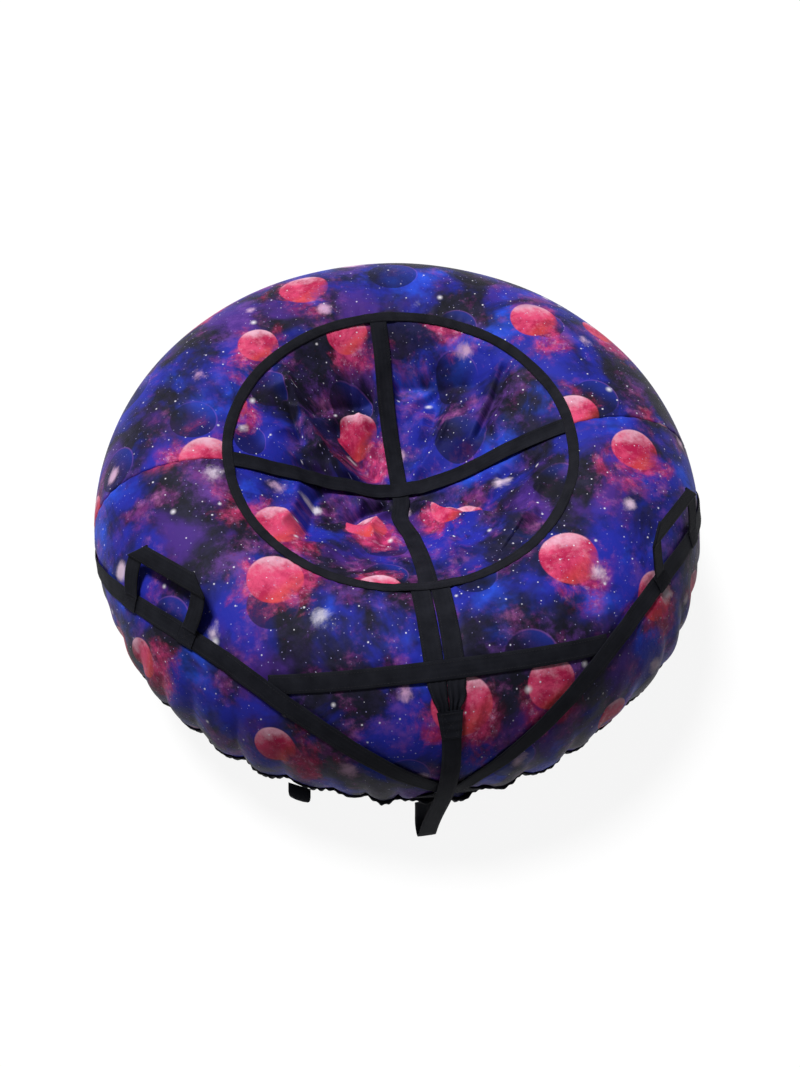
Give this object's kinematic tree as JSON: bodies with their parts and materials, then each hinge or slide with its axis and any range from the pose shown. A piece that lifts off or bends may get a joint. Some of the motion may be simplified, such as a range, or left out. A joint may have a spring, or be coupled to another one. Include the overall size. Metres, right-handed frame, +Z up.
{
  "type": "snow tube",
  "caption": "Inflated snow tube: a rubber ring in a printed cloth cover with a dished seat, webbing harness, side handles, tow loop and a zipped coated underside.",
  "frame": {"origin": "middle of the ring at the level that it rests on", "axes": "+Z up through the seat, -Y to the front where the tow loop hangs, +X to the right of a rider who faces the front from behind"},
  "size_m": [1.003, 1.0137, 0.3937],
  "materials": {
    "printed_oxford_cloth": "printed woven polyester with a soft sheen",
    "printed_seat_cloth": "printed woven polyester with a soft sheen",
    "black_webbing": "matte ribbed webbing",
    "black_coated_cloth": "semi-matte coated cloth",
    "butyl_rubber": "matte rubber",
    "brass": "turned brass",
    "black_plastic": "moulded plastic",
    "zip_tape": "matte woven tape",
    "zinc_alloy": "cast and tumbled metal"
  },
  "bodies": {
    "cover": {"inner_tube": "butyl_rubber", "valve_base": "butyl_rubber", "valve_stem": "brass", "front_cover_panel": "printed_oxford_cloth", "rear_cover_panel": "printed_oxford_cloth", "seat_panel": "printed_seat_cloth", "seat_ring_binding": "black_webbing", "seat_strap_fore_aft": "black_webbing", "seat_strap_cross": "black_webbing", "tow_harness_strap_left": "black_webbing", "tow_harness_strap_right": "black_webbing", "tow_patch": "black_webbing", "front_cross_strap": "black_webbing", "girth_strap_left": "black_webbing", "girth_strap_right": "black_webbing", "left_handle_front_foot": "black_webbing", "left_handle_rear_foot": "black_webbing", "right_handle_front_foot": "black_webbing", "right_handle_rear_foot": "black_webbing", "tow_loop": "black_webbing", "bottom_panel": "black_coated_cloth", "hem_band": "black_coated_cloth", "hem_tab": "black_webbing", "zip_tape_front": "zip_tape", "zip_tape_rear": "zip_tape", "zip_teeth_front": "zinc_alloy", "zip_teeth_rear": "zinc_alloy", "zip_stop_left": "zinc_alloy", "zip_stop_right": "zinc_alloy"},
    "left_grab_handle": {"left_handle": "black_webbing"},
    "right_grab_handle": {"right_handle": "black_webbing"},
    "slider": {"zip_slider": "zinc_alloy"},
    "pull": {"zip_pull": "zinc_alloy"},
    "cap": {"valve_cap": "black_plastic"},
    "pin": {"valve_pin": "brass"}
  },
  "joints": [
    {"name": "left_handle_swing", "type": "hinge", "parent": "cover", "child": "left_grab_handle", "pos_m": [-0.3906, -0.2327, 0.3071], "axis": [0.6683, -0.7054, 0.2361], "range_deg": [-8, 168]},
    {"name": "right_handle_swing", "type": "hinge", "parent": "cover", "child": "right_grab_handle", "pos_m": [0.3906, -0.2327, 0.3071], "axis": [0.6683, 0.7054, -0.2361], "range_deg": [-22, 154]},
    {"name": "zip_travel", "type": "slide", "parent": "cover", "child": "slider", "axis": [-1, 0, 0], "range_m": [0, 0.372]},
    {"name": "zip_pull_swing", "type": "hinge", "parent": "slider", "child": "pull", "pos_m": [0.1866, 0, 0.0078], "axis": [0, 1, 0], "range_deg": [-165, 0]},
    {"name": "valve_cap_turn", "type": "hinge", "parent": "cover", "child": "cap", "pos_m": [0.1, 0.1, 0.18], "axis": [-0.7071, -0.7071, 0], "continuous": true},
    {"name": "valve_pin_press", "type": "slide", "parent": "cover", "child": "pin", "axis": [0.7071, 0.7071, 0], "range_m": [0, 0.0012], "stiffness_N_per_m": 600}
  ]
}
